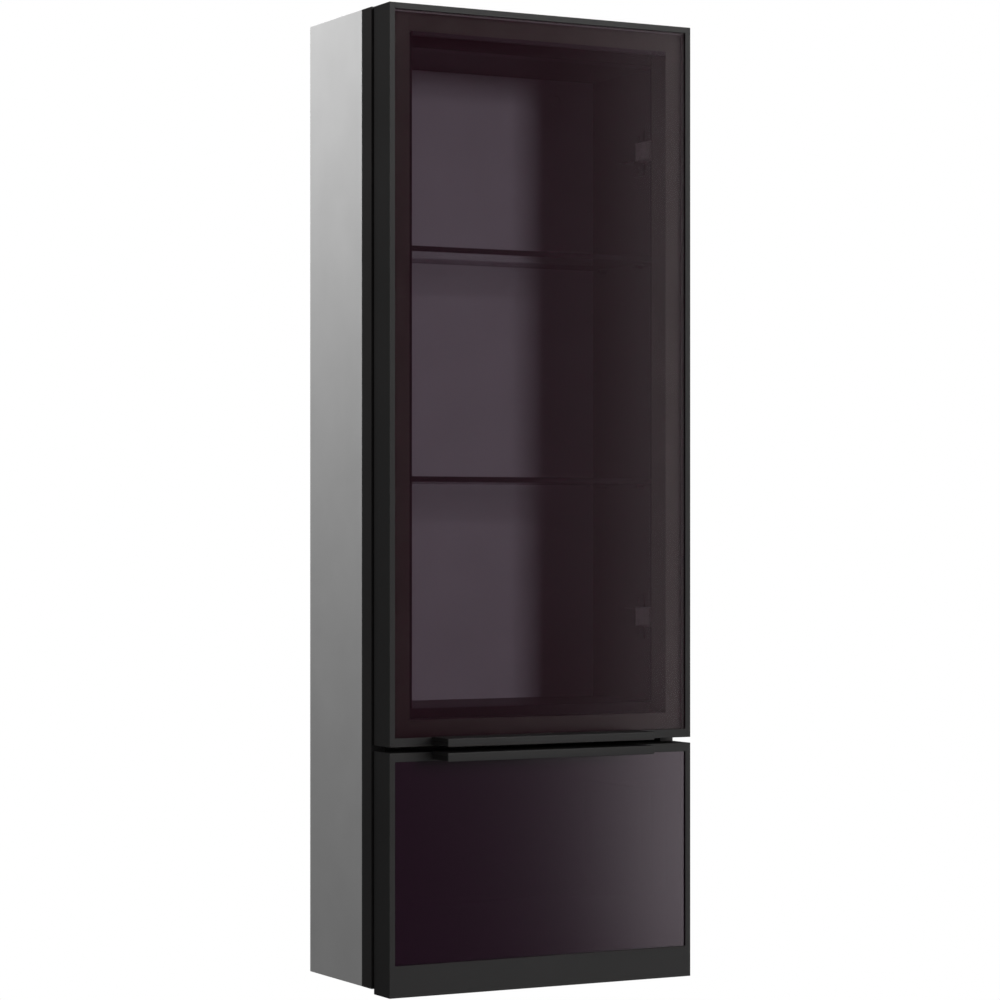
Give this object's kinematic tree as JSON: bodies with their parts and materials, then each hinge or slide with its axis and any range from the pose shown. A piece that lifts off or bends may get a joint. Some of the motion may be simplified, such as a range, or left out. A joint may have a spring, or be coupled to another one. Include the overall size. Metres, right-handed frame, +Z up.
{
  "type": "wall-hung glass-door display cabinet",
  "caption": "Narrow wall-hung display cabinet: hinged smoked-glass door over glass shelves, glass-fronted drawer below.",
  "frame": {"origin": "on the wall plane, at the centre of the four wall-fixing holes", "axes": "+X to the right seen from the front, -Y out of the wall towards the user, +Z up"},
  "size_m": [0.3566, 0.223, 1.0005],
  "materials": {
    "melamine_board": "matt pale grey melamine facing",
    "edge_frame": "matt black anodised",
    "front_frame": "fine matt black anodised",
    "smoked_glass": "smoked, satin reflections",
    "shelf_glass": "clear, ground edges",
    "gasket_rubber": "matt",
    "pull_aluminium": "fine matt black anodised",
    "zinc_steel": "bright zinc plated",
    "nickel_steel": "nickel plated",
    "cleat_zinc": "die cast",
    "beech_dowel": "raw beech",
    "bumper_silicone": "soft translucent",
    "drawer_board": "matt anthracite melamine facing",
    "back_board": "matt pale grey"
  },
  "bodies": {
    "carcass": {"side_panel_left": "melamine_board", "side_panel_right": "melamine_board", "top_panel": "melamine_board", "bottom_panel": "melamine_board", "divider_panel": "melamine_board", "back_panel": "back_board", "front_edge_left": "edge_frame", "front_edge_right": "edge_frame", "front_edge_top": "edge_frame", "front_edge_middle": "edge_frame", "front_edge_bottom": "edge_frame", "shelf_upper": "shelf_glass", "shelf_lower": "shelf_glass", "shelf_pins": "nickel_steel", "board_dowels": "beech_dowel", "back_panel_screws": "zinc_steel", "bumpers": "bumper_silicone", "hinge_plate_upper": "nickel_steel", "hinge_plate_lower": "nickel_steel", "hinge_arm_upper": "nickel_steel", "hinge_arm_lower": "nickel_steel", "hinge_plate_screws": "zinc_steel", "runner_rail_left": "zinc_steel", "runner_rail_right": "zinc_steel", "runner_rail_screws": "zinc_steel"},
    "door": {"door_stile_left": "front_frame", "door_stile_right": "front_frame", "door_rail_top": "front_frame", "door_rail_bottom": "front_frame", "door_glass": "smoked_glass", "door_gasket": "gasket_rubber", "door_corner_cleats": "cleat_zinc", "door_corner_screws": "zinc_steel", "door_handle": "pull_aluminium", "hinge_leaf_upper": "nickel_steel", "hinge_leaf_lower": "nickel_steel", "hinge_leaf_screws": "zinc_steel", "hinge_pins": "nickel_steel"},
    "drawer": {"drawer_stile_left": "front_frame", "drawer_stile_right": "front_frame", "drawer_rail_top": "front_frame", "drawer_rail_bottom": "front_frame", "drawer_glass": "smoked_glass", "drawer_gasket": "gasket_rubber", "drawer_corner_cleats": "cleat_zinc", "drawer_corner_screws": "zinc_steel", "drawer_handle": "pull_aluminium", "drawer_side_left": "drawer_board", "drawer_side_right": "drawer_board", "drawer_inner_front": "drawer_board", "drawer_back": "drawer_board", "drawer_bottom": "drawer_board", "runner_slide_left": "zinc_steel", "runner_slide_right": "zinc_steel", "runner_slide_screws": "zinc_steel", "drawer_front_brackets": "zinc_steel", "drawer_bracket_screws": "zinc_steel"}
  },
  "joints": [
    {"name": "door_hinge", "type": "hinge", "parent": "carcass", "child": "door", "pos_m": [0.1744, -0.1528, 0], "axis": [0, 0, 1], "range_deg": [0, 105]},
    {"name": "drawer_slide", "type": "slide", "parent": "carcass", "child": "drawer", "axis": [0, -1, 0], "range_m": [0, 0.095]}
  ]
}
